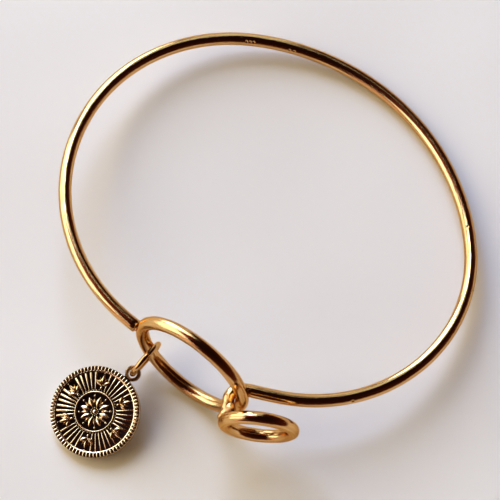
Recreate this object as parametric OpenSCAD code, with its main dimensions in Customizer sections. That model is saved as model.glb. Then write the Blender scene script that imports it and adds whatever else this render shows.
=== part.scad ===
// Charm bangle: a springy hoop of round wire with a large ring soldered on one end and a hooked
// neck with a small stop ring on the other. The neck is sprung through the large ring, and a struck
// medallion hangs from the large ring on a jump ring. All of it lies on a table as it would by
// itself: the hoop leans on its far side and on the foot of the large ring, the medallion lies flat.

/* [Hoop] */
// Diameter of the hoop's round wire
wire_d = 2.0; // [1.8:0.1:2.2]
// Bend radius at the hoop's left shoulder, next to the catch ring
left_shoulder_r = 28.8; // [27:0.1:30]
// Turn of the left shoulder in degrees
left_shoulder_turn = 83.9; // [80:0.1:88]
// Bend radius of the hoop's left side
left_side_r = 26.4; // [25:0.1:28]
// Turn of the left side in degrees
left_side_turn = 64.5; // [62:0.1:67]
// Bend radius of the flatter far side
far_side_r = 37.0; // [35:0.1:39]
// Turn of the far side in degrees
far_side_turn = 83.0; // [80:0.1:86]
// Bend radius round the right side
right_side_r = 25.3; // [24:0.1:27]
// Turn of the right side in degrees
right_side_turn = 102.1; // [99:0.1:105]
// Bend radius of the nearly straight stretch that leads to the clasp
lead_r = 70.8; // [60:0.1:80]
// Turn of that stretch in degrees
lead_turn = 3.6; // [2:0.1:5]

/* [Clasp] */
// Length over which the wire is drawn down to the neck
taper_l = 1.2; // [0.8:0.1:2]
// Diameter of the hooked neck
neck_d = 1.8; // [1.6:0.1:1.8]
// Turn of the neck round the catch ring's wire in degrees
hook_turn = 94.1; // [88:0.1:100]
// Straight length of the neck from its bend to the stop ring
neck_l = 3.75; // [3.4:0.05:4.2]
// Air between the neck and the catch ring's wire
clasp_gap = 0.1; // [0.05:0.05:0.2]
// Depth that the hoop's square-cut end is let into the catch ring's wire
butt_depth = 0.3; // [0.2:0.05:0.5]
// Radius of the stop ring to the middle of its wire
stop_ring_r = 5.1; // [4.6:0.1:5.6]
// Heading of the stop ring's plane in degrees
stop_ring_heading = 29.4; // [20:0.1:38]
// Lean of the stop ring out of the upright in degrees
stop_ring_lean = 7.0; // [0:0.5:12]

/* [Jump ring] */
// Diameter of the jump ring's wire
jump_wire_d = 0.9; // [0.8:0.05:0.95]
// Radius of the jump ring to the middle of its wire
jump_r = 2.95; // [2.9:0.05:3.1]
// Heading of the jump ring's plane in degrees
jump_heading = 85.5; // [82:0.5:89]
// Lean of the jump ring out of the upright in degrees
jump_lean = 11; // [8:0.5:14]

/* [Medallion] */
// Diameter of the medallion over its reeded edge
medal_d = 14.0; // [13:0.5:15]
// Thickness of the medallion over its raised edge
medal_t = 1.4; // [1.2:0.1:1.6]
// Outer diameter of the eye
eye_d = 2.4; // [2.3:0.1:2.6]
// Diameter of the hole in the eye
eye_hole_d = 1.5; // [1.5:0.05:1.6]
// Thickness of the eye
eye_t = 0.9; // [0.8:0.1:1.1]
// Heading from the medallion's middle to its eye in degrees
medal_heading = 79.5; // [76:0.5:83]
// Number of reeds round the edge
reed_n = 76; // [60:4:80]
// Number of rays in the sunburst
ray_n = 45; // [36:9:45]

/* [Hidden] */

wire_r = wire_d / 2;
neck_r = neck_d / 2;
jump_wire_r = jump_wire_d / 2;
WIRE_FN = 48;
RING_FN = 120;

// The hoop's bends, in order from the catch ring round the far side to the clasp
RADIUS = 0;
TURN = 1;
bends = [
    [left_shoulder_r, left_shoulder_turn],
    [left_side_r, left_side_turn],
    [far_side_r, far_side_turn],
    [right_side_r, right_side_turn],
    [lead_r, lead_turn]
];

// A place along the hoop is [x, y, heading in degrees], and every bend turns to the right
X = 0;
Y = 1;
HEADING = 2;
function right_of(h) = [sin(h), -cos(h)];
function along(h) = [cos(h), sin(h)];
function bend_centre(s, r) = [s[X], s[Y]] + r * right_of(s[HEADING]);
function after_bend(s, b) =
    let (c = bend_centre(s, b[RADIUS]), h = s[HEADING] - b[TURN], p = c - b[RADIUS] * right_of(h))
    [p[X], p[Y], h];
function hoop_place(i) = i == 0 ? [0, 0, 180] : after_bend(hoop_place(i - 1), bends[i - 1]);

// The wire starts at the middle of the catch ring's left wall and ends at the neck's bend
lead_end = hoop_place(len(bends));
taper_end = concat([lead_end[X], lead_end[Y]] + taper_l * along(lead_end[HEADING]), lead_end[HEADING]);
hook_r = wire_r + clasp_gap + neck_r;
hook_centre = [taper_end[X], taper_end[Y]] - hook_r * right_of(taper_end[HEADING]);
neck_heading = taper_end[HEADING] + hook_turn;
neck_start = hook_centre + hook_r * right_of(neck_heading);
neck_end = neck_start + neck_l * along(neck_heading);

// The catch ring fills the gap between the wire's cut end and the neck's bend
left_wall = [wire_r - butt_depth, 0];
catch_span = hook_centre - left_wall;
catch_r = norm(catch_span) / 2;
catch_centre = left_wall + catch_span / 2;
catch_heading = atan2(catch_span[Y], catch_span[X]);
stop_centre = neck_end + stop_ring_r * along(stop_ring_heading);

// The hoop's plane leans until the catch ring's foot and the far side's wire touch the table
hoop_roll = 1.9;
far_centre = bend_centre(hoop_place(2), far_side_r) - catch_centre;
foot_drop = catch_r - far_centre[X] * sin(hoop_roll);
lean_a = pow(far_side_r, 2) - pow(far_centre[Y], 2);
lean_b = 2 * foot_drop * far_centre[Y];
lean_c = pow(far_side_r * sin(hoop_roll), 2) - pow(foot_drop, 2);
hoop_lean = atan((-lean_b + sqrt(pow(lean_b, 2) - 4 * lean_a * lean_c)) / (2 * lean_a));
catch_height = catch_r * cos(hoop_lean) + wire_r;

// A point given from the catch ring's middle in the hoop's plane, as a point above the table
function rolled(p) = [
    p[0] * cos(hoop_roll) + p[2] * sin(hoop_roll),
    p[1],
    p[2] * cos(hoop_roll) - p[0] * sin(hoop_roll)
];
function leaned(p) = [
    p[0],
    p[1] * cos(hoop_lean) + p[2] * sin(hoop_lean),
    p[2] * cos(hoop_lean) - p[1] * sin(hoop_lean)
];
function on_table(p) = leaned(rolled(p)) + [0, 0, catch_height];

// The jump ring's plane: one axis level, the other up its lean
jump_level = [cos(jump_heading), sin(jump_heading), 0];
jump_up = [
    sin(jump_lean) * sin(jump_heading),
    -sin(jump_lean) * cos(jump_heading),
    cos(jump_lean)
];
function in_jump_plane(r, a) = r * (cos(a) * jump_level + sin(a) * jump_up);

// The catch ring's wire crosses the jump ring low on its left, close against its far inner side
limb_angle = 218;
limb = on_table(catch_r * [cos(limb_angle), 0, sin(limb_angle)]);
limb_side_angle = -8;
limb_offset = jump_r - jump_wire_r - wire_r - 0.12;
jump_centre = limb - in_jump_plane(limb_offset, limb_side_angle);

// The eye hangs on the jump ring's near side, and the medallion slopes down from it to the table
medal_r = medal_d / 2;
eye_offset = medal_r + eye_d / 2;
eye_side_angle = 199;
eye_place = jump_centre + in_jump_plane(jump_r, eye_side_angle);
slope_run = medal_r + eye_offset;
slope_reach = norm([slope_run, medal_t / 2]);
medal_slope = asin(eye_place[2] / slope_reach) - atan2(medal_t / 2, slope_run);
medal_centre = eye_place - eye_offset * [
    cos(medal_slope) * cos(medal_heading),
    cos(medal_slope) * sin(medal_heading),
    sin(medal_slope)
];

// The relief of the medallion, as radii from its middle and heights above its field
field_depth = 0.3;
field_z = medal_t / 2 - field_depth;
root = 0.15;
edge_in_r = medal_r - 0.72;
lip_w = 0.14;
reed_w = 0.3;
ray_in_r = 3.4;
ray_w = 0.22;
ring_r = 3.05;
ring_w = 0.3;
RELIEF = 0.22;
petal_n = 8;
petal_l = 1.75;
petal_w = 0.72;
petal_in_r = 0.75;
boss_r = 0.62;
sprig_n = 6;
sprig_r = 4.05;
LEAF_ANGLE = 0;
LEAF_LENGTH = 1;
sprig_leaves = [[0, 1.9], [55, 1.45], [-55, 1.45]];
leaf_w = 0.66;

// The middle of the hoop's box on the table, from points along the wire
STEPS = 24;
function bend_point(i, t) =
    let (s = hoop_place(i), r = bends[i][RADIUS], h = s[HEADING] - bends[i][TURN] * t)
    bend_centre(s, r) - r * right_of(h) - catch_centre;
wire_points = [
    for (i = [0:len(bends) - 1], t = [0:1 / STEPS:1])
        let (p = bend_point(i, t)) on_table([p[X], p[Y], 0])
];
x_low = min([for (p = wire_points) p[0]]) - wire_r;
x_high = max([for (p = wire_points) p[0]]) + wire_r;
y_low = medal_centre[1] - medal_r;
y_high = max([for (p = wire_points) p[1]]) + wire_r;
box_middle = [(x_low + x_high) / 2, (y_low + y_high) / 2, 0];

// A closed ring of round wire in the upright XZ plane
module wire_ring(r, wire) {
    rotate([90, 0, 0])
        rotate_extrude($fn = RING_FN)
            translate([r, 0])
                circle(r = wire, $fn = WIRE_FN);
}

// One bend of round wire, drawn from the end of the turn back to its start
module wire_bend(centre, r, from, turn, wire) {
    translate([centre[X], centre[Y], 0])
        rotate([0, 0, from])
            rotate_extrude(angle = turn, $fn = RING_FN * 2)
                translate([r, 0])
                    circle(r = wire, $fn = WIRE_FN);
}

// A straight length of round wire that may taper
module wire_straight(place, heading, length, r_start, r_end) {
    translate([place[X], place[Y], 0])
        rotate([0, 90, heading])
            cylinder(h = length, r1 = r_start, r2 = r_end, $fn = WIRE_FN);
}

// A ball a hair fatter than the wire, which makes two lengths that meet end to end one solid
module knuckle(place, wire) {
    translate([place[X], place[Y], 0])
        sphere(r = wire + 0.01, $fn = WIRE_FN);
}

module hoop_wire() {
    for (i = [0:len(bends) - 1]) {
        s = hoop_place(i);
        r = bends[i][RADIUS];
        wire_bend(bend_centre(s, r), r, s[HEADING] + 90 - bends[i][TURN], bends[i][TURN], wire_r);
    }
    for (i = [1:len(bends)]) knuckle(hoop_place(i), wire_r);
}

module hooked_neck() {
    wire_straight(lead_end, lead_end[HEADING], taper_l, wire_r, neck_r);
    knuckle(taper_end, neck_r);
    wire_bend(hook_centre, hook_r, taper_end[HEADING] - 90, hook_turn, neck_r);
    knuckle(neck_start, neck_r);
    wire_straight(neck_start, neck_heading, neck_l, neck_r, neck_r);
}

module stop_ring() {
    translate([stop_centre[X], stop_centre[Y], 0])
        rotate([0, 0, stop_ring_heading])
            rotate([stop_ring_lean, 0, 0])
                wire_ring(stop_ring_r, wire_r);
}

module catch_ring() {
    translate([catch_centre[X], catch_centre[Y], 0])
        rotate([0, 0, catch_heading])
            wire_ring(catch_r, wire_r);
}

// Sets a shape drawn in the hoop's plane down on the table
module lay_down() {
    translate([0, 0, catch_height] - box_middle)
        rotate([-hoop_lean, 0, 0])
            rotate([0, hoop_roll, 0])
                translate([-catch_centre[X], -catch_centre[Y], 0])
                    children();
}

// Hoop, neck and both rings are soldered into one piece
module bangle() {
    color("goldenrod")
        lay_down() {
            hoop_wire();
            hooked_neck();
            catch_ring();
            stop_ring();
        }
}

module jump_ring() {
    color("gold")
        translate(jump_centre - box_middle)
            rotate([0, 0, jump_heading])
                rotate([jump_lean, 0, 0])
                    wire_ring(jump_r, jump_wire_r);
}

// The lens between two equal arcs, as long as given along X and standing on the field
module leaf(length, width, height) {
    arc_r = (pow(length, 2) + pow(width, 2)) / (4 * width);
    shift = arc_r - width / 2;
    translate([length / 2, 0, field_z - root])
        intersection() {
            translate([0, shift, 0]) cylinder(h = height + root, r = arc_r, $fn = RING_FN);
            translate([0, -shift, 0]) cylinder(h = height + root, r = arc_r, $fn = RING_FN);
        }
}

// A bar that stands on the field and points away from the middle
module spoke(from, to, width, height) {
    translate([from, -width / 2, field_z - root])
        cube([to - from, width, height + root]);
}

// A flat band round the middle
module band(outer, width, height) {
    translate([0, 0, field_z - root])
        difference() {
            cylinder(h = height + root, r = outer, $fn = RING_FN);
            translate([0, 0, -root]) cylinder(h = height + 3 * root, r = outer - width, $fn = RING_FN);
        }
}

module blank() {
    translate([0, 0, -medal_t / 2]) cylinder(h = medal_t - field_depth, r = medal_r, $fn = RING_FN * 2);
}

module eye() {
    translate([eye_offset, 0, 0])
        difference() {
            union() {
                cylinder(h = eye_t, d = eye_d, center = true, $fn = WIRE_FN);
                translate([-eye_d / 2 - root, -eye_d / 4, -eye_t / 2]) cube([eye_d / 2, eye_d / 2, eye_t]);
            }
            cylinder(h = 2 * eye_t, d = eye_hole_d, center = true, $fn = WIRE_FN);
        }
}

module reeded_edge() {
    band(medal_r, lip_w, field_depth - 0.08);
    for (i = [0:reed_n - 1])
        rotate([0, 0, (i + 0.5) * 360 / reed_n])
            spoke(edge_in_r, medal_r - lip_w / 2, reed_w, field_depth);
}

module sunburst() {
    for (i = [0:ray_n - 1])
        rotate([0, 0, (i + 0.5) * 360 / ray_n])
            spoke(ray_in_r, edge_in_r - 0.2, ray_w, RELIEF * 0.75);
}

module leaf_sprigs() {
    for (i = [0:sprig_n - 1], leaf_row = sprig_leaves)
        rotate([0, 0, (i + 0.5) * 360 / sprig_n])
            translate([sprig_r, 0, 0])
                rotate([0, 0, leaf_row[LEAF_ANGLE]])
                    leaf(leaf_row[LEAF_LENGTH], leaf_w, RELIEF);
}

module rosette() {
    band(ring_r + ring_w / 2, ring_w, RELIEF * 1.1);
    translate([0, 0, field_z - root]) cylinder(h = RELIEF * 1.2 + root, r = boss_r, $fn = WIRE_FN);
    for (i = [0:petal_n - 1])
        rotate([0, 0, (i + 0.5) * 360 / petal_n])
            translate([petal_in_r, 0, 0])
                leaf(petal_l, petal_w, RELIEF);
}

module medallion() {
    color("darkgoldenrod")
        translate(medal_centre - box_middle)
            rotate([0, -medal_slope, medal_heading]) {
                blank();
                eye();
                reeded_edge();
                sunburst();
                leaf_sprigs();
                rosette();
            }
}

bangle();
jump_ring();
medallion();
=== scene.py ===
# %% [markdown]
# A wire charm bangle lies on a table: a springy gold-plated hoop, a large ring soldered on one end,
# a hooked neck with a small stop ring on the other, and a struck medallion on a jump ring.
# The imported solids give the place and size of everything, so they are loaded first and measured.
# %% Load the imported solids
from math import asin, atan, atan2, ceil, cos, hypot, pi, radians, sin, sqrt, tau

import bmesh
import bpy
from mathutils import Euler, Matrix, Vector


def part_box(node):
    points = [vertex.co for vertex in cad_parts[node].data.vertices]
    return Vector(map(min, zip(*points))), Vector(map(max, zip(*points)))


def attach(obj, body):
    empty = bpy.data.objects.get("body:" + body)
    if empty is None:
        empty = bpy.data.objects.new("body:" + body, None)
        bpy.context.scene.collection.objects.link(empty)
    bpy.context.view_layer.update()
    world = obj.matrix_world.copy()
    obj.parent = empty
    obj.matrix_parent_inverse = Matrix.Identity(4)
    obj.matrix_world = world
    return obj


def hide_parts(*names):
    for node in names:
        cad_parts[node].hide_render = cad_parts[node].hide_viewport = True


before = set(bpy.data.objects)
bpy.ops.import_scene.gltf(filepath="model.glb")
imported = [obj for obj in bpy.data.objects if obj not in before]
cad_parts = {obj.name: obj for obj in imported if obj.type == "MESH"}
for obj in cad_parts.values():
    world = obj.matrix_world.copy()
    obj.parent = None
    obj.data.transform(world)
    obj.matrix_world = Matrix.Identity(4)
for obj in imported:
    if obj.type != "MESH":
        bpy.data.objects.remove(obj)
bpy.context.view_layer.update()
MM = 0.001

# %% [markdown]
# The hoop is one length of wire bent in a flat plane, so its route is five bends to the right, then
# a short drawn-down taper, a hook round the catch ring's wire and a straight neck. The same few sizes
# give the catch ring, which fills the gap between the wire's two ends, and the lean of the whole
# plane, which rests on the catch ring's foot and on the far side of the hoop.
# %% Sizes of the wire's route
WIRE_R = 1.0 * MM
NECK_R = 0.9 * MM
BENDS = (  # radius in metres, turn in radians, from the catch ring round the far side to the clasp
    (28.8 * MM, radians(83.9)),
    (26.4 * MM, radians(64.5)),
    (37.0 * MM, radians(83.0)),
    (25.3 * MM, radians(102.1)),
    (70.8 * MM, radians(3.6)),
)
FAR_SIDE = 2
TAPER_L = 1.2 * MM
HOOK_R = WIRE_R + 0.1 * MM + NECK_R
HOOK_TURN = radians(94.1)
NECK_L = 3.75 * MM
BUTT_DEPTH = 0.3 * MM
STOP_R = 5.1 * MM
STOP_HEADING = radians(29.4)
STOP_LEAN = radians(7.0)
HOOP_ROLL = radians(1.9)


def right_of(heading):
    return Vector((sin(heading), -cos(heading), 0))


def along(heading):
    return Vector((cos(heading), sin(heading), 0))


def bend_end(place, heading, radius, turn):
    """Where a bend to the right ends (to the left, if the turn is negative), and its centre."""
    side = 1 if turn > 0 else -1
    centre = place + side * radius * right_of(heading)
    return centre - side * radius * right_of(heading - turn), heading - turn, centre


place, heading = Vector((0, 0, 0)), pi
far_centre = None
for i, (radius, turn) in enumerate(BENDS):
    place, heading, centre = bend_end(place, heading, radius, turn)
    if i == FAR_SIDE:
        far_centre = centre
place = place + TAPER_L * along(heading)
neck_start, neck_heading, hook_centre = bend_end(place, heading, HOOK_R, -HOOK_TURN)
neck_end = neck_start + NECK_L * along(neck_heading)
stop_centre = neck_end + STOP_R * along(STOP_HEADING)

left_wall = Vector((WIRE_R - BUTT_DEPTH, 0, 0))
catch_span = hook_centre - left_wall
CATCH_R = catch_span.length / 2
catch_centre = left_wall + catch_span / 2
catch_heading = atan2(catch_span.y, catch_span.x)
print("catch ring radius in mm", round(CATCH_R / MM, 3))

# %% [markdown]
# The plane of the hoop is rolled a little to one side and leans down to the far side. The lean is the
# angle at which the far side's wire just touches the table, a quadratic in its tangent. The jump ring
# and the medallion follow in turn: the ring hangs against the catch ring's wire, and the medallion
# slopes from its eye, threaded on the jump ring, down to its own edge on the table.
# %% Places above the table
far = far_centre - catch_centre
far_r = BENDS[FAR_SIDE][0]
foot_drop = CATCH_R - far.x * sin(HOOP_ROLL)
lean_a = far_r**2 - far.y**2
lean_b = 2 * foot_drop * far.y
lean_c = (far_r * sin(HOOP_ROLL)) ** 2 - foot_drop**2
HOOP_LEAN = atan((-lean_b + sqrt(lean_b**2 - 4 * lean_a * lean_c)) / (2 * lean_a))
CATCH_HEIGHT = CATCH_R * cos(HOOP_LEAN) + WIRE_R
plane_turn = Matrix.Rotation(-HOOP_LEAN, 4, "X") @ Matrix.Rotation(HOOP_ROLL, 4, "Y")

JUMP_WIRE_R = 0.45 * MM
JUMP_R = 2.95 * MM
JUMP_HEADING = radians(85.5)
JUMP_LEAN = radians(11)
LIMB_ANGLE = radians(218)
LIMB_SIDE_ANGLE = radians(-8)
EYE_SIDE_ANGLE = radians(199)
LIMB_OFFSET = JUMP_R - JUMP_WIRE_R - WIRE_R - 0.12 * MM
jump_level = along(JUMP_HEADING)
jump_up = sin(JUMP_LEAN) * right_of(JUMP_HEADING) + cos(JUMP_LEAN) * Vector((0, 0, 1))


def in_jump_plane(radius, angle):
    return radius * (cos(angle) * jump_level + sin(angle) * jump_up)


catch_lift = Vector((0, 0, CATCH_HEIGHT))
limb = plane_turn @ (CATCH_R * Vector((cos(LIMB_ANGLE), 0, sin(LIMB_ANGLE)))) + catch_lift
jump_centre = limb - in_jump_plane(LIMB_OFFSET, LIMB_SIDE_ANGLE)

MEDAL_R = 7.0 * MM
MEDAL_T = 1.4 * MM
EYE_R = 1.2 * MM
EYE_HOLE_R = 0.75 * MM
EYE_T = 0.9 * MM
MEDAL_HEADING = radians(79.5)
EYE_OFFSET = MEDAL_R + EYE_R
eye_place = jump_centre + in_jump_plane(JUMP_R, EYE_SIDE_ANGLE)
slope_run = MEDAL_R + EYE_OFFSET
MEDAL_SLOPE = asin(eye_place.z / hypot(slope_run, MEDAL_T / 2)) - atan2(MEDAL_T / 2, slope_run)
medal_turn = Matrix.Rotation(MEDAL_HEADING, 4, "Z") @ Matrix.Rotation(-MEDAL_SLOPE, 4, "Y")
medal_centre = eye_place - medal_turn @ Vector((EYE_OFFSET, 0, 0))
print("lean", round(HOOP_LEAN * 180 / pi, 2), "medallion slope", round(MEDAL_SLOPE * 180 / pi, 2))

# %% [markdown]
# The row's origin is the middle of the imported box, so the places above, which start at the foot of
# the catch ring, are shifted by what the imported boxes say. The jump ring's box is the handiest: its
# middle is the ring's middle, and the shift comes out the same for every piece.
# %% Shift to the row's origin
jump_low, jump_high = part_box("jump_ring")
shift = (jump_low + jump_high) / 2 - jump_centre
print("shift in mm", [round(s / MM, 3) for s in shift])
to_row = Matrix.Translation(shift)
hoop_matrix = to_row @ Matrix.Translation(catch_lift) @ plane_turn @ Matrix.Translation(-catch_centre)
medal_matrix = to_row @ Matrix.Translation(medal_centre) @ medal_turn
jump_matrix = (
    to_row
    @ Matrix.Translation(jump_centre)
    @ Matrix.Rotation(JUMP_HEADING, 4, "Z")
    @ Matrix.Rotation(pi / 2 + JUMP_LEAN, 4, "X")
)

# %% [markdown]
# The camera looks down steeply from the front right, from about 35 cm, through a long lens, which is
# how small jewellery is usually photographed. It comes first, because every later choice is judged
# through it.
# %% Camera
CAMERA_PLACE = Vector((79.6, -82.3, 346.7)) * MM
CAMERA_TURN = Euler((radians(13.96), radians(12.63), radians(34.11)), "ZYX")
LENS_MM = 168.4
SENSOR_MM = 36
NEAR_CLIP = 10 * MM
camera_data = bpy.data.cameras.new("camera")
camera_data.lens = LENS_MM
camera_data.sensor_width = SENSOR_MM
camera_data.clip_start = NEAR_CLIP
camera = bpy.data.objects.new("camera", camera_data)
camera.matrix_world = Matrix.Translation(CAMERA_PLACE) @ CAMERA_TURN.to_matrix().to_4x4()
bpy.context.scene.collection.objects.link(camera)
bpy.context.scene.camera = camera
print("camera", LENS_MM, "mm lens")

# %% [markdown]
# Colours are picked as screen colours, sRGB hex, and one function turns them to the linear values that
# shaders use. A second small function adds a node, sets its values and links its inputs, so that each
# material below reads as a short recipe.
# %% Helpers for materials


def colour(hex_code):
    """An sRGB hex colour as linear RGBA."""
    parts = [int(hex_code[i : i + 2], 16) / 255 for i in (1, 3, 5)]
    return [p / 12.92 if p <= 0.04045 else ((p + 0.055) / 1.055) ** 2.4 for p in parts] + [1]


def add(tree, kind, inputs=None, stops=(), **settings):
    """A new node of that kind. Inputs are values or sockets to link from, stops a ramp's colours."""
    node = tree.nodes.new(kind)
    for name, value in settings.items():
        setattr(node, name, value)
    for name, value in (inputs or {}).items():
        if isinstance(value, bpy.types.NodeSocket):
            tree.links.new(value, node.inputs[name])
        else:
            node.inputs[name].default_value = value
    for i, (place_on_ramp, value) in enumerate(stops):
        elements = node.color_ramp.elements
        element = elements[i] if i < 2 else elements.new(place_on_ramp)
        element.position = place_on_ramp
        element.color = value
    return node


def new_material(name):
    """A material with only a Principled shader and an output, and its node tree."""
    material = bpy.data.materials.new(name)
    material.use_nodes = True
    tree = material.node_tree
    tree.nodes.clear()
    shader = add(tree, "ShaderNodeBsdfPrincipled")
    add(tree, "ShaderNodeOutputMaterial", {"Surface": shader.outputs["BSDF"]})
    return material, tree, shader


# %% [markdown]
# Bright gold plate on drawn brass wire is almost a mirror. What keeps it from looking like a computer's
# gold is what the work leaves on it: faint lines along the wire from the draw die, slow waves from the
# polishing wheel, a few nicks, and lumps where it was soldered, darkened brown in their creases. The
# wires carry two attributes. Flow holds the place round the wire and the distance along it in metres,
# so every pattern follows the bends, and solder says how near a joint is.
# %% Nicks and solder
LUMPS_PER_M = 1100.0


def nick(tree, flow, normal, along_wire, around_wire, wide, long):
    """Adds a round-bottomed nick at that place on the wire to the normal."""
    spot = Vector((WIRE_R * cos(around_wire), WIRE_R * sin(around_wire), along_wire))
    offset = add(tree, "ShaderNodeVectorMath", {0: flow, 1: spot}, operation="SUBTRACT").outputs[0]
    squeeze = (1, 1, wide / long)
    rounded = add(tree, "ShaderNodeVectorMath", {0: offset, 1: squeeze}, operation="MULTIPLY").outputs[0]
    gap = add(tree, "ShaderNodeVectorMath", {0: rounded}, operation="LENGTH").outputs["Value"]
    bowl = {"Value": gap, "From Min": 0.0, "From Max": wide}
    dent = add(tree, "ShaderNodeMapRange", bowl, interpolation_type="SMOOTHERSTEP").outputs["Result"]
    depth = wide / 2
    return add(tree, "ShaderNodeBump", {"Height": dent, "Distance": depth, "Normal": normal}).outputs[0]


def solder_creases(tree):
    """How near a joint is, and how deep in a crease of its lumps, about 0.9 mm apart, a point lies."""
    near = add(tree, "ShaderNodeAttribute", attribute_name="solder").outputs["Fac"]
    here = add(tree, "ShaderNodeTexCoord").outputs["Object"]
    lumpy = {"Vector": here, "Scale": LUMPS_PER_M}
    lumps = add(tree, "ShaderNodeTexVoronoi", lumpy, feature="SMOOTH_F1")
    depth = {0: lumps.outputs["Distance"], 1: near}
    return near, add(tree, "ShaderNodeMath", depth, operation="MULTIPLY").outputs[0]


# %% [markdown]
# The plate's own colour wanders a little with the waves and darkens along the draw lines, because plate
# is thinnest on their ridges, and the creases of the solder lumps are darkened brown. Roughness follows
# the lines too, and rises where solder was never quite polished out.
# %% Gold plate
LINES_PER_M = (2500, 2500, 65)  # 0.4 mm apart round the wire, with finer ones between, 15 mm long
WAVES_PER_M = (760, 760, 250)  # 1.3 mm round the wire and about 4 mm along it
CREASE_DEPTH = 0.2 * MM
SATIN_AT_JOINT = 0.25


def gold_plate(name, base, line_depth, wave_depth, rough, nicks=()):
    """Gold plate whose lines and waves follow the wire. Nicks are rows of place and size."""
    material, tree, shader = new_material(name)
    flow = add(tree, "ShaderNodeAttribute", attribute_name="flow").outputs["Vector"]
    lines_at = add(tree, "ShaderNodeVectorMath", {0: flow, 1: LINES_PER_M}, operation="MULTIPLY")
    lines = add(
        tree,
        "ShaderNodeTexNoise",
        {"Vector": lines_at.outputs[0], "Scale": 1.0, "Detail": 5.0, "Roughness": 0.68},
    ).outputs["Fac"]
    waves_at = add(tree, "ShaderNodeVectorMath", {0: flow, 1: WAVES_PER_M}, operation="MULTIPLY")
    waves = add(
        tree, "ShaderNodeTexNoise", {"Vector": waves_at.outputs[0], "Scale": 1.0, "Roughness": 0.5}
    ).outputs["Fac"]
    near, crease = solder_creases(tree)
    normal = add(tree, "ShaderNodeBump", {"Height": waves, "Distance": wave_depth}).outputs[0]
    for height, depth in ((lines, line_depth), (crease, -CREASE_DEPTH)):
        bump = {"Height": height, "Distance": depth, "Normal": normal}
        normal = add(tree, "ShaderNodeBump", bump).outputs[0]
    for row in nicks:
        normal = nick(tree, flow, normal, *row)
    tree.links.new(normal, shader.inputs["Normal"])
    stops = ((0.3, colour(base[0])), (0.7, colour(base[1])))
    tone = add(tree, "ShaderNodeValToRGB", {"Fac": waves}, stops=stops).outputs["Color"]
    thin = {"Value": lines, "From Min": 0.42, "From Max": 0.66, "To Max": 0.6}
    # Draw lines darken the plate a little, and the creases of the solder lumps are darkened brown
    crease_darkening = {"Value": crease, "From Min": 0.2, "From Max": 0.45}
    for where, darker in ((thin, "#b87c40"), (crease_darkening, "#8f5222")):
        part = add(tree, "ShaderNodeMapRange", where).outputs["Result"]
        mixed = {"Factor": part, 6: tone, 7: colour(darker)}
        tone = add(tree, "ShaderNodeMix", mixed, data_type="RGBA").outputs[2]
    tree.links.new(tone, shader.inputs["Base Color"])
    by_lines = {"Value": lines, "From Min": 0.35, "From Max": 0.75, "To Min": rough[0], "To Max": rough[1]}
    dull = add(tree, "ShaderNodeMapRange", by_lines).outputs["Result"]
    duller = {0: near, 1: SATIN_AT_JOINT, 2: dull}
    satin = add(tree, "ShaderNodeMath", duller, operation="MULTIPLY_ADD").outputs[0]
    tree.links.new(satin, shader.inputs["Roughness"])
    shader.inputs["Metallic"].default_value = 1.0
    shader.inputs["Specular Tint"].default_value = colour("#ecd0aa")
    return material


NICKS = (  # along the wire, around it from its outer side, width, length
    (71.2 * MM, radians(138), 0.31 * MM, 0.33 * MM),
    (71.8 * MM, radians(138), 0.31 * MM, 0.33 * MM),
    (72.4 * MM, radians(138), 0.31 * MM, 0.33 * MM),
    (78.4 * MM, radians(146), 0.22 * MM, 0.3 * MM),
    (79.2 * MM, radians(146), 0.22 * MM, 0.3 * MM),
    (92.9 * MM, radians(40), 0.3 * MM, 0.3 * MM),
    (122.5 * MM, radians(100), 0.25 * MM, 0.3 * MM),
    (125.2 * MM, radians(25), 0.35 * MM, 0.3 * MM),
    (133.0 * MM, radians(30), 0.3 * MM, 0.3 * MM),
    (160.1 * MM, radians(32), 0.3 * MM, 0.35 * MM),
)
wire_gold = gold_plate(
    "polished_gold_plate",
    ("#ebc388", "#f2cf97"),
    line_depth=0.04 * MM,
    wave_depth=0.03 * MM,
    rough=(0.09, 0.2),
    nicks=NICKS,
)
jump_gold = gold_plate(
    "pale_gold_plate",
    ("#ecc68c", "#f5d6a0"),
    line_depth=0.025 * MM,
    wave_depth=0.02 * MM,
    rough=(0.11, 0.22),
)
print("gold plate with", len(NICKS), "nicks")

# %% [markdown]
# Wire is modelled the way it is bent: a circle of vertices stands across the start, and each bend is a
# spin of that circle about the bend's centre. A straight length is an extrusion of the last circle,
# scaled if the wire tapers. After each step the new vertices get their flow attribute, worked out from
# where they ended up.
# %% Helpers for wire
WIRE_SIDES = 48
STEP_LENGTH = 0.75 * MM
STEP_TURN = radians(3)


def edges_of(geometry):
    return [g for g in geometry if isinstance(g, bmesh.types.BMEdge)]


def verts_of(geometry):
    return [g for g in geometry if isinstance(g, bmesh.types.BMVert)]


def edges_at(verts):
    """The edges that meet those vertices, each once."""
    return list(dict.fromkeys(edge for vert in verts for edge in vert.link_edges))


def mesh_from(bm, name):
    """Ends the bmesh and returns its mesh."""
    mesh = bpy.data.meshes.new(name)
    bm.to_mesh(mesh)
    bm.free()
    return mesh


def stamp(bm, mesh, matrix=Matrix()):
    """Adds a moved copy of that mesh to the bmesh."""
    copy = mesh.copy()
    copy.transform(matrix)
    bm.from_mesh(copy)
    bpy.data.meshes.remove(copy)


def flow_layer(bm):
    return bm.verts.layers.float_vector.get("flow") or bm.verts.layers.float_vector.new("flow")


def start_wire(bm, at, facing, radius):
    """A capped circle across the wire's way, and the edges that go on from it."""
    layer = flow_layer(bm)
    stand = Matrix.Translation(at) @ Matrix.Rotation(facing, 4, "Z") @ Matrix.Rotation(pi / 2, 4, "Y")
    made = bmesh.ops.create_circle(bm, cap_ends=True, segments=WIRE_SIDES, radius=radius, matrix=stand)
    for vert in made["verts"]:
        offset = vert.co - at
        vert[layer] = (-offset.dot(right_of(facing)), offset.z, 0)
    return edges_at(made["verts"])


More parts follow.
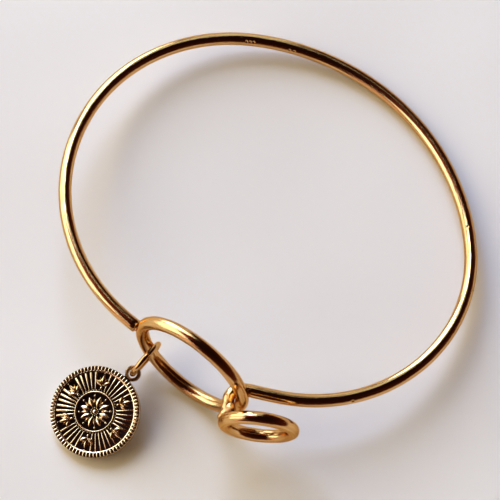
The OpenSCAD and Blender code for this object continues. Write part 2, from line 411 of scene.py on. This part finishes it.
def bend_wire(bm, edges, at, facing, radius, turn, so_far):
    """Spins the open end round the bend's centre and returns the new end's edges and place."""
    end, new_facing, centre = bend_end(at, facing, radius, turn)
    before = len(bm.verts)
    steps = ceil(max(radius * abs(turn) / STEP_LENGTH, abs(turn) / STEP_TURN))
    made = bmesh.ops.spin(bm, geom=edges, cent=centre, axis=(0, 0, 1), angle=-turn, steps=steps)
    layer = flow_layer(bm)
    side = 1 if turn > 0 else -1
    first = atan2(at.y - centre.y, at.x - centre.x)
    bm.verts.ensure_lookup_table()
    for vert in bm.verts[before:]:
        offset = vert.co - centre
        turned = (side * (first - atan2(offset.y, offset.x))) % tau
        vert[layer] = (side * (hypot(offset.x, offset.y) - radius), offset.z, so_far + radius * turned)
    return edges_of(made["geom_last"]), end, new_facing, so_far + radius * abs(turn)


def straight_wire(bm, edges, at, facing, length, scale, so_far, steps=4):
    """Extrudes the open end in short steps, drawing it down or up by scale on the way."""
    layer = flow_layer(bm)
    for step in range(1, steps + 1):
        made = bmesh.ops.extrude_edge_only(bm, edges=edges)["geom"]
        edges = [e for e in edges_of(made) if all(v in set(verts_of(made)) for v in e.verts)]
        bmesh.ops.translate(bm, verts=verts_of(made), vec=along(facing) * length / steps)
        middle = at + along(facing) * length * step / steps
        grow = (1 + (scale - 1) * step / steps) / (1 + (scale - 1) * (step - 1) / steps)
        bmesh.ops.scale(bm, verts=verts_of(made), vec=(grow,) * 3, space=Matrix.Translation(-middle))
        for vert in verts_of(made):
            offset = vert.co - middle
            vert[layer] = (-offset.dot(right_of(facing)), offset.z, so_far + length * step / steps)
    return edges, at + along(facing) * length, facing, so_far + length


def whole_ring(radius, wire_radius, sides, steps):
    """A closed ring of wire that stands in the XZ plane, with its flow round the ring."""
    bm = bmesh.new()
    layer = flow_layer(bm)
    stand = Matrix.Translation((radius, 0, 0)) @ Matrix.Rotation(pi / 2, 4, "X")
    made = bmesh.ops.create_circle(bm, segments=sides, radius=wire_radius, matrix=stand)
    edges = edges_at(made["verts"])
    bmesh.ops.spin(
        bm, geom=edges, cent=(0, 0, 0), axis=(0, 0, 1), angle=tau, steps=steps, use_merge=True
    )
    for vert in bm.verts:
        x, y, z = vert.co
        vert[layer] = (hypot(x, y) - radius, z, radius * abs(atan2(y, x)))
    bmesh.ops.transform(bm, verts=bm.verts, matrix=Matrix.Rotation(pi / 2, 4, "X"))
    return mesh_from(bm, "ring")


def spin_profile(points, steps, axis=(0, 0, 1)):
    """Turns a profile of points in mm round an axis through the origin."""
    bm = bmesh.new()
    verts = [bm.verts.new(Vector(point) * MM) for point in points]
    for pair in zip(verts, verts[1:]):
        bm.edges.new(pair)
    bmesh.ops.spin(
        bm, geom=bm.edges[:], cent=(0, 0, 0), axis=axis, angle=tau, steps=steps, use_merge=True
    )
    bmesh.ops.remove_doubles(bm, verts=bm.verts, dist=1e-7)
    return mesh_from(bm, "turned")


def finish_piece(bm, name, material, replaced, sharp=radians(50)):
    """Turns the bmesh into a shaded piece that rides on the root body."""
    bmesh.ops.recalc_face_normals(bm, faces=bm.faces)
    for face in bm.faces:
        face.smooth = True
    mesh = mesh_from(bm, name)
    mesh.set_sharp_from_angle(angle=sharp)
    mesh.materials.append(material)
    piece = bpy.data.objects.new(name, mesh)
    bpy.context.scene.collection.objects.link(piece)
    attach(piece, "root")
    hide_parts(replaced)
    triangles = sum(len(p.vertices) - 2 for p in mesh.polygons)
    print(name, triangles, "triangles")


# %% [markdown]
# The hoop, neck and both rings are one soldered piece of metal. The hoop's left end is sawn square,
# with its rim filed, and let into the side of the catch ring on a short pin of its own wire, so a
# narrow dark seam shows round it. At the other end solder has crept up where the neck meets the stop
# ring: a short flared sleeve and a flattened lump on the neck's inner side stand for it.
# %% Bangle
SEAM_R = 0.7 * MM
SAWN_R = WIRE_R - 0.12 * MM
SEAM_L = 0.38 * MM
bm = bmesh.new()
at, facing, so_far = Vector((0, 0, 0)), pi, 0.0
edges = start_wire(bm, at, facing, SEAM_R)
first_r, first_turn = BENDS[0]
pin_turn = SEAM_L / first_r
edges, at, facing, so_far = bend_wire(bm, edges, at, facing, first_r, pin_turn, so_far)
edges, *_ = straight_wire(bm, edges, at, facing, 0.0, SAWN_R / SEAM_R, so_far, steps=1)
rim_turn = (WIRE_R - SAWN_R) / first_r
edges, at, facing, so_far = bend_wire(bm, edges, at, facing, first_r, rim_turn, so_far)
rim = list(dict.fromkeys(vert for edge in edges for vert in edge.verts))
bmesh.ops.scale(bm, verts=rim, vec=(WIRE_R / SAWN_R,) * 3, space=Matrix.Translation(-at))
for radius, turn in ((first_r, first_turn - pin_turn - rim_turn), *BENDS[1:]):
    edges, at, facing, so_far = bend_wire(bm, edges, at, facing, radius, turn, so_far)
edges, at, facing, so_far = straight_wire(bm, edges, at, facing, TAPER_L, NECK_R / WIRE_R, so_far)
edges, at, facing, so_far = bend_wire(bm, edges, at, facing, HOOK_R, -HOOK_TURN, so_far)
edges, at, facing, so_far = straight_wire(bm, edges, at, facing, NECK_L, 1.0, so_far)
bmesh.ops.contextual_create(bm, geom=edges)
upright = Matrix.Translation(catch_centre) @ Matrix.Rotation(catch_heading, 4, "Z")
stamp(bm, whole_ring(CATCH_R, WIRE_R, WIRE_SIDES, 200), upright)
upright = (
    Matrix.Translation(stop_centre)
    @ Matrix.Rotation(STOP_HEADING, 4, "Z")
    @ Matrix.Rotation(STOP_LEAN, 4, "X")
)
stamp(bm, whole_ring(STOP_R, WIRE_R, WIRE_SIDES, 128), upright)
SOLDER = (  # along the neck and out from its axis, in mm
    (-2.1, 0.88, 0),
    (-1.75, 0.93, 0),
    (-1.4, 1.0, 0),
    (-1.1, 1.1, 0),
    (-0.85, 1.22, 0),
    (-0.5, 1.15, 0),
    (-0.2, 0.9, 0),
)
upright = Matrix.Translation(neck_end) @ Matrix.Rotation(neck_heading, 4, "Z")
stamp(bm, spin_profile(SOLDER, WIRE_SIDES, axis=(1, 0, 0)), upright)
LUMP = Vector((1.9, 1.25, 0.85)) * MM  # half its length, width and thickness
LUMP_PLACE = Vector((2.3, 0.25, 0.25)) * MM
LUMP_ROLL = radians(32)
lump = bmesh.new()
bmesh.ops.create_uvsphere(lump, u_segments=24, v_segments=16, radius=1.0)
stand = (
    Matrix.Translation(neck_start)
    @ Matrix.Rotation(neck_heading, 4, "Z")
    @ Matrix.Translation(LUMP_PLACE)
    @ Matrix.Rotation(LUMP_ROLL, 4, "X")
)
stamp(bm, mesh_from(lump, "lump"), stand @ Matrix.Diagonal((*LUMP, 1)))
SOLDERED = (  # where, how far the joint's satin and darkened creases reach, and how lumpy it is
    (Vector((0, 0, 0)), 1.7 * MM, 0.85),
    (neck_start.lerp(neck_end, 0.7), 3.4 * MM, 1.0),
)
solder = bm.verts.layers.float.new("solder")
for vert in bm.verts:
    vert[solder] = max(
        0, *(lumpy * (1 - (vert.co - spot).length / reach) for spot, reach, lumpy in SOLDERED)
    )
bmesh.ops.transform(bm, verts=bm.verts, matrix=hoop_matrix)
finish_piece(bm, "bangle_wire", wire_gold, "bangle")

# %% [markdown]
# A jump ring is a coil of thin wire sawn into loops, so it has a hairline butt where its ends meet. A
# spin just short of a full turn leaves that gap, and the two ends are capped.
# %% Jump ring
BUTT_GAP = radians(2.6)
BUTT_PLACE = radians(-62)
bm = bmesh.new()
layer = flow_layer(bm)
stand = (
    Matrix.Rotation(BUTT_PLACE + BUTT_GAP / 2, 4, "Z")
    @ Matrix.Translation((JUMP_R, 0, 0))
    @ Matrix.Rotation(pi / 2, 4, "X")
)
made = bmesh.ops.create_circle(bm, cap_ends=True, segments=32, radius=JUMP_WIRE_R, matrix=stand)
first_end = edges_at(made["verts"])
made = bmesh.ops.spin(
    bm, geom=first_end, cent=(0, 0, 0), axis=(0, 0, 1), angle=tau - BUTT_GAP, steps=96
)
last_end = edges_of(made["geom_last"])
bmesh.ops.contextual_create(bm, geom=last_end)
bmesh.ops.bevel(
    bm,
    geom=first_end + last_end,
    offset=0.05 * MM,
    segments=2,
    profile=0.5,
    affect="EDGES",
    material=-1,
)
for vert in bm.verts:
    x, y, z = vert.co
    vert[layer] = (hypot(x, y) - JUMP_R, z, JUMP_R * (atan2(y, x) % tau))
bmesh.ops.transform(bm, verts=bm.verts, matrix=jump_matrix)
finish_piece(bm, "jump_ring_wire", jump_gold, "jump_ring")

# %% [markdown]
# The medallion is a struck disc that was plated, washed with dark brown antiquing lacquer and rubbed
# back, so the high points are bright and the hollows nearly black. An attribute named high holds how
# far each vertex stands above the field, and the material mixes lacquer and metal by it, with noise
# so that the rubbing looks done by hand.
# %% Antiqued metal
FIELD_DEPTH = 0.3 * MM
FIELD_Z = MEDAL_T / 2 - FIELD_DEPTH
GRIT_PER_M = 5000.0  # pits and rubbing marks about 0.2 mm across


def antiqued_metal(name):
    material, tree, shader = new_material(name)
    high = add(tree, "ShaderNodeAttribute", attribute_name="high").outputs["Fac"]
    here = add(tree, "ShaderNodeTexCoord").outputs["Object"]
    grit = add(
        tree,
        "ShaderNodeTexNoise",
        {"Vector": here, "Scale": GRIT_PER_M, "Detail": 4.0, "Roughness": 0.65},
    ).outputs["Fac"]
    worn = add(tree, "ShaderNodeMath", {0: grit, 1: 0.9}, operation="MULTIPLY").outputs[0]
    rubbed = add(tree, "ShaderNodeMath", {0: high, 1: worn}, operation="ADD").outputs[0]
    bright = add(
        tree,
        "ShaderNodeMapRange",
        {"Value": rubbed, "From Min": 0.75, "From Max": 1.1},
        interpolation_type="SMOOTHSTEP",
    ).outputs["Result"]
    stops = ((0.0, colour("#2a0f06")), (0.4, colour("#9a6c3a")), (1.0, colour("#ffe4b8")))
    tone = add(tree, "ShaderNodeValToRGB", {"Fac": bright}, stops=stops).outputs["Color"]
    tree.links.new(tone, shader.inputs["Base Color"])
    metal = add(
        tree, "ShaderNodeMapRange", {"Value": bright, "To Min": 0.8, "To Max": 1.0}
    ).outputs["Result"]
    tree.links.new(metal, shader.inputs["Metallic"])
    rough = add(
        tree, "ShaderNodeMapRange", {"Value": bright, "To Min": 0.42, "To Max": 0.12}
    ).outputs["Result"]
    tree.links.new(rough, shader.inputs["Roughness"])
    bump = add(
        tree, "ShaderNodeBump", {"Height": grit, "Strength": 1.0, "Distance": 0.03 * MM}
    ).outputs["Normal"]
    tree.links.new(bump, shader.inputs["Normal"])
    return material


medal_metal = antiqued_metal("antiqued_plated_brass")

# %% [markdown]
# The blank is turned: a profile of the disc from its middle out over the edge and back is spun round
# the axis. Everything raised is modelled as its own small solid, sunk into the field, which is how the
# engraver of a die works too, punch by punch. Reeds and rays are low roofs, whose sloping sides catch
# the light, beads are small spheres, and leaves are spheres pressed flat and pinched to two points.
# %% Helpers for relief


def ridge(start, end, wide_start, wide_end, height, base=0.0):
    """A low roof along X that stands on the field, or at a height above it, with soft ends."""
    bm = bmesh.new()
    bmesh.ops.create_cube(bm, size=1.0)
    for vert in bm.verts:
        on_top = vert.co.z > 0
        vert.co.y *= (wide_end if vert.co.x > 0 else wide_start) * (0.2 if on_top else 1)
        inset = 0.5 * height if on_top else 0
        vert.co.x = end - inset if vert.co.x > 0 else start + inset
        vert.co.z = FIELD_Z + base + (height if on_top else -0.02 * MM)
    top = [edge for edge in bm.edges if all(vert.co.z > FIELD_Z + base for vert in edge.verts)]
    bmesh.ops.bevel(
        bm, geom=top, offset=0.3 * height, segments=2, profile=0.5, affect="EDGES", material=-1
    )
    return mesh_from(bm, "ridge")


def bead(radius, lift=0.0):
    """A small ball half sunk in the field."""
    bm = bmesh.new()
    where = Matrix.Translation((0, 0, FIELD_Z + lift))
    bmesh.ops.create_icosphere(bm, subdivisions=2, radius=radius, matrix=where)
    return mesh_from(bm, "bead")


def leaf(length, width, height):
    """A pointed leaf along X that lies on the field, with a raised rib down its middle."""
    bm = bmesh.new()
    bmesh.ops.create_uvsphere(bm, u_segments=20, v_segments=12, radius=1.0)
    for vert in bm.verts:
        pinch = max(0.0, 1 - abs(vert.co.x) ** 1.6)
        rib = 0.35 * max(0.0, 1 - abs(vert.co.y) * 4) if vert.co.z > 0 else 0
        vert.co.y *= width / 2 * (0.35 + 0.65 * pinch)
        vert.co.z = (vert.co.z * (0.75 + 0.25 * pinch) + rib * pinch) * height + FIELD_Z
        vert.co.x = (vert.co.x + 1) * length / 2
    return mesh_from(bm, "leaf")


def row_of(bm, mesh, number, at_radius=0.0, lean=0.0, first=0.5):
    """Stamps a mesh that number of times round the middle."""
    for i in range(number):
        turned = Matrix.Rotation((i + first) * tau / number, 4, "Z")
        stamp(bm, mesh, turned @ Matrix.Translation((at_radius, 0, 0)) @ Matrix.Rotation(lean, 4, "Z"))


# %% [markdown]
# The design is a plain traditional one: a reeded edge, a sunburst of fine rays, six sprigs of leaves,
# and a beaded ring round a rosette. Its main counts and radii are the solid's. The rays behind a sprig
# are left out, so that it stands clear on dark ground, and the smallest leaves and beads are only here,
# because they are what sparkles.
# %% Medallion
REED_N = 76
RAY_N = 45
SPRIG_N = 6
SPRIG_CLEAR_DEG = 8
SPRIG_LEAVES = ((0.0, 1.9), (55.0, 1.45), (-55.0, 1.45))
PETAL_N = 8
RING_MM = 3.05
bm = bmesh.new()
half = MEDAL_T / 2 / MM
field = FIELD_Z / MM
BLANK = (
    (0, -half),
    (6.6, -half),
    (6.78, -half + 0.02),
    (6.94, -half + 0.1),
    (7.0, -half + 0.22),
    (7.0, field + 0.1),
    (6.97, field + 0.14),
    (6.9, field + 0.15),
    (6.36, field + 0.15),
    (6.32, field + 0.19),
    (6.28, field + 0.19),
    (6.04, field + 0.02),
    (5.99, field),
    (0, field),
)
RING = (
    (RING_MM - 0.16, field - 0.1),
    (RING_MM - 0.15, field + 0.12),
    (RING_MM - 0.08, field + 0.2),
    (RING_MM, field + 0.23),
    (RING_MM + 0.08, field + 0.2),
    (RING_MM + 0.15, field + 0.12),
    (RING_MM + 0.16, field - 0.1),
)
stamp(bm, spin_profile([(r, 0, z) for r, z in BLANK], 192))
stamp(bm, spin_profile([(r, 0, z) for r, z in RING], 128))
rim_base = 0.15 * MM
row_of(bm, ridge(6.3 * MM, 6.98 * MM, 0.46 * MM, 0.5 * MM, FIELD_DEPTH - rim_base, rim_base), REED_N)
ray = ridge(3.35 * MM, 6.1 * MM, 0.3 * MM, 0.54 * MM, 0.12 * MM)
for i in range(RAY_N):
    turn = (i + 0.5) * tau / RAY_N
    from_sprig = abs((turn / tau * SPRIG_N) % 1 - 0.5) * 360 / SPRIG_N
    if from_sprig > SPRIG_CLEAR_DEG:
        stamp(bm, ray, Matrix.Rotation(turn, 4, "Z"))
for lean_deg, length_mm in SPRIG_LEAVES:
    row_of(bm, leaf(length_mm * MM, 0.7 * MM, 0.27 * MM), SPRIG_N, 4.05 * MM, radians(lean_deg))
row_of(bm, bead(0.24 * MM), SPRIG_N, 3.75 * MM)
for lean_deg in (-27, 27):
    row_of(bm, leaf(1.5 * MM, 0.36 * MM, 0.2 * MM), SPRIG_N, 4.1 * MM, radians(lean_deg))
row_of(bm, bead(0.13 * MM), SPRIG_N, 5.98 * MM)
row_of(bm, leaf(1.75 * MM, 0.84 * MM, 0.24 * MM), PETAL_N, 0.7 * MM)
row_of(bm, leaf(1.35 * MM, 0.42 * MM, 0.18 * MM), PETAL_N, 0.95 * MM, first=0)
row_of(bm, bead(0.2 * MM), PETAL_N, 2.45 * MM, first=0)
row_of(bm, bead(0.1 * MM), 48, 3.33 * MM)
row_of(bm, bead(0.12 * MM), 12, 0.58 * MM)
stamp(bm, bead(0.42 * MM, lift=-0.12 * MM))

ROUND = 0.2
eye_r, hole_r, eye_half = EYE_R / MM, EYE_HOLE_R / MM, EYE_T / 2 / MM
EYE = (
    (hole_r + 0.08, -eye_half),
    (eye_r - ROUND, -eye_half),
    (eye_r - 0.06, -eye_half + 0.07),
    (eye_r, -eye_half + ROUND),
    (eye_r, eye_half - ROUND),
    (eye_r - 0.06, eye_half - 0.07),
    (eye_r - ROUND, eye_half),
    (hole_r + 0.08, eye_half),
    (hole_r + 0.02, eye_half - 0.04),
    (hole_r, eye_half - 0.12),
    (hole_r, -eye_half + 0.12),
    (hole_r + 0.02, -eye_half + 0.04),
    (hole_r + 0.08, -eye_half),
)
stamp(bm, spin_profile([(r, 0, z) for r, z in EYE], 64), Matrix.Translation((EYE_OFFSET, 0, 0)))
SHOULDER = (0.6 * MM, 1.2 * MM, EYE_T)
shoulder = bmesh.new()
bmesh.ops.create_cube(
    shoulder,
    size=1.0,
    matrix=Matrix.Translation((MEDAL_R + 0.1 * MM, 0, 0)) @ Matrix.Diagonal((*SHOULDER, 1)),
)
bmesh.ops.bevel(
    shoulder,
    geom=shoulder.edges[:],
    offset=0.15 * MM,
    segments=3,
    profile=0.5,
    affect="EDGES",
    material=-1,
)
stamp(bm, mesh_from(shoulder, "shoulder"))

RIM_FROM, EDGE_FROM, EYE_FROM = 6.34 * MM, 6.99 * MM, 7.02 * MM  # radii
RIM_GROUND = 0.14 * MM
FULLY_RUBBED = 0.08 * MM  # height above its ground from which the metal is rubbed clean
BACK_BELOW = FIELD_Z - 0.05 * MM
EYE_HIGH = 0.46
EDGE_HIGH = 0.6
high = bm.verts.layers.float.new("high")
for vert in bm.verts:
    radius = hypot(vert.co.x, vert.co.y)
    above = (vert.co.z - FIELD_Z - (RIM_GROUND if radius > RIM_FROM else 0)) / FULLY_RUBBED
    if radius > EYE_FROM:
        vert[high] = EYE_HIGH
    elif radius > EDGE_FROM or vert.co.z < BACK_BELOW:
        vert[high] = EDGE_HIGH
    else:
        vert[high] = min(1.0, max(0.0, above))
bmesh.ops.transform(bm, verts=bm.verts, matrix=medal_matrix)
finish_piece(bm, "medallion_disc", medal_metal, "medallion", sharp=radians(60))

# %% [markdown]
# The table is a pale, nearly matt slab, kept plain. It isn't part of the bangle, but its pale tone is
# what the lower half of every wire reflects.
# %% Table
TABLE_SIZE = 1.2
CLOUDS_PER_M = 14.0


def table_material():
    material, tree, shader = new_material("pale_slab")
    here = add(tree, "ShaderNodeTexCoord").outputs["Object"]
    cloudy = {"Vector": here, "Scale": CLOUDS_PER_M, "Detail": 2.0, "Roughness": 0.5}
    cloud = add(tree, "ShaderNodeTexNoise", cloudy).outputs["Fac"]
    stops = ((0.35, colour("#ddd8d7")), (0.65, colour("#e4e0df")))
    tone = add(tree, "ShaderNodeValToRGB", {"Fac": cloud}, stops=stops).outputs["Color"]
    tree.links.new(tone, shader.inputs["Base Color"])
    shader.inputs["Roughness"].default_value = 0.8
    shader.inputs["Specular IOR Level"].default_value = 0.2
    return material


bm = bmesh.new()
bmesh.ops.create_grid(bm, x_segments=1, y_segments=1, size=TABLE_SIZE)
mesh = mesh_from(bm, "table")
mesh.materials.append(table_material())
table = bpy.data.objects.new("table", mesh)
bpy.context.scene.collection.objects.link(table)

# %% [markdown]
# The light is soft and comes from the left: a cool panel like open sky, which draws the soft shadows,
# and a wider warm one beside it. Polished metal would show panels that bright as burnt-out bars, so
# reflections don't see them. They see dimmer panels in about the same places instead, both of them
# cool, with a dim stretch at each end, as a window has, and a faint red glow above. Each panel is given
# by the part of the sky that it fills, and its size follows from its distance. The rest of the room
# gives a weak warm fill, but reflections see it nearly dark, brown near the floor, because that
# darkness is what gives gold its black and brown streaks.
# %% Light
PANEL_DISTANCE = 3.0
ROOM_FILL = (0.32, 0.23, 0.12, 1)
VIEW_GAMMA = 0.75


def panel(name, azimuths, elevations, radiance):
    """A rectangular light that fills those ranges of degrees, as seen from the table."""
    azimuth, elevation = (radians(sum(pair) / 2) for pair in (azimuths, elevations))
    half_turn, half_rise = (radians((pair[1] - pair[0]) / 2) for pair in (azimuths, elevations))
    forward = cos(elevation) ** 2 * cos(half_turn) + sin(elevation) ** 2
    data = bpy.data.lights.new(name, "AREA")
    data.shape = "RECTANGLE"
    data.size = 2 * PANEL_DISTANCE * cos(elevation) * sin(half_turn) / forward
    data.size_y = 2 * PANEL_DISTANCE * sin(half_rise) / cos(half_rise)
    brightest = max(radiance)
    data.color = [part / brightest for part in radiance]
    data.energy = brightest * pi * data.size * data.size_y
    way = Vector((cos(azimuth) * cos(elevation), sin(azimuth) * cos(elevation), sin(elevation)))
    light = bpy.data.objects.new(name, data)
    facing_table = way.to_track_quat("Z", "Y").to_matrix().to_4x4()
    light.matrix_world = Matrix.Translation(way * PANEL_DISTANCE) @ facing_table
    bpy.context.scene.collection.objects.link(light)
    return light


for soft in (
    panel("sky_panel", (120, 160), (3, 55), (4.65, 6.2, 9.1)),
    panel("warm_panel", (160, 240), (3, 55), (2.9, 2.68, 1.93)),
):
    soft.visible_glossy = False
for mirrored in (
    panel("sky_glint", (131, 165), (1, 60), (2.8, 3.75, 5.1)),
    panel("dusk_glint", (110, 131), (1, 57), (0.7, 0.85, 0.95)),
    panel("side_glint", (165, 240), (1, 50), (1.75, 2.15, 2.5)),
    panel("edge_glint", (240, 262), (1, 35), (0.9, 0.7, 0.7)),
    panel("glow_glint", (120, 240), (55, 75), (0.3, 0.06, 0.03)),
):
    mirrored.visible_diffuse = False
world = bpy.data.worlds.new("dim_room")
world.use_nodes = True
tree = world.node_tree
way = add(tree, "ShaderNodeTexCoord").outputs["Generated"]
rise = add(tree, "ShaderNodeSeparateXYZ", {0: way}).outputs["Z"]
WALLS = (
    (0.0, (0.22, 0.09, 0.04, 1)),
    (0.12, (0.13, 0.035, 0.014, 1)),
    (0.45, (0.07, 0.018, 0.009, 1)),
    (0.8, (0.03, 0.007, 0.006, 1)),
)
walls = add(tree, "ShaderNodeValToRGB", {"Fac": rise}, stops=WALLS).outputs["Color"]
in_mirror = add(tree, "ShaderNodeLightPath").outputs["Is Glossy Ray"]
room = add(
    tree,
    "ShaderNodeMix",
    {"Factor": in_mirror, 6: ROOM_FILL, 7: walls},
    data_type="RGBA",
)
tree.links.new(room.outputs[2], tree.nodes["Background"].inputs["Color"])
bpy.context.scene.world = world
view = bpy.context.scene.view_settings
view.view_transform = "Standard"
view.look = "None"
view.gamma = VIEW_GAMMA
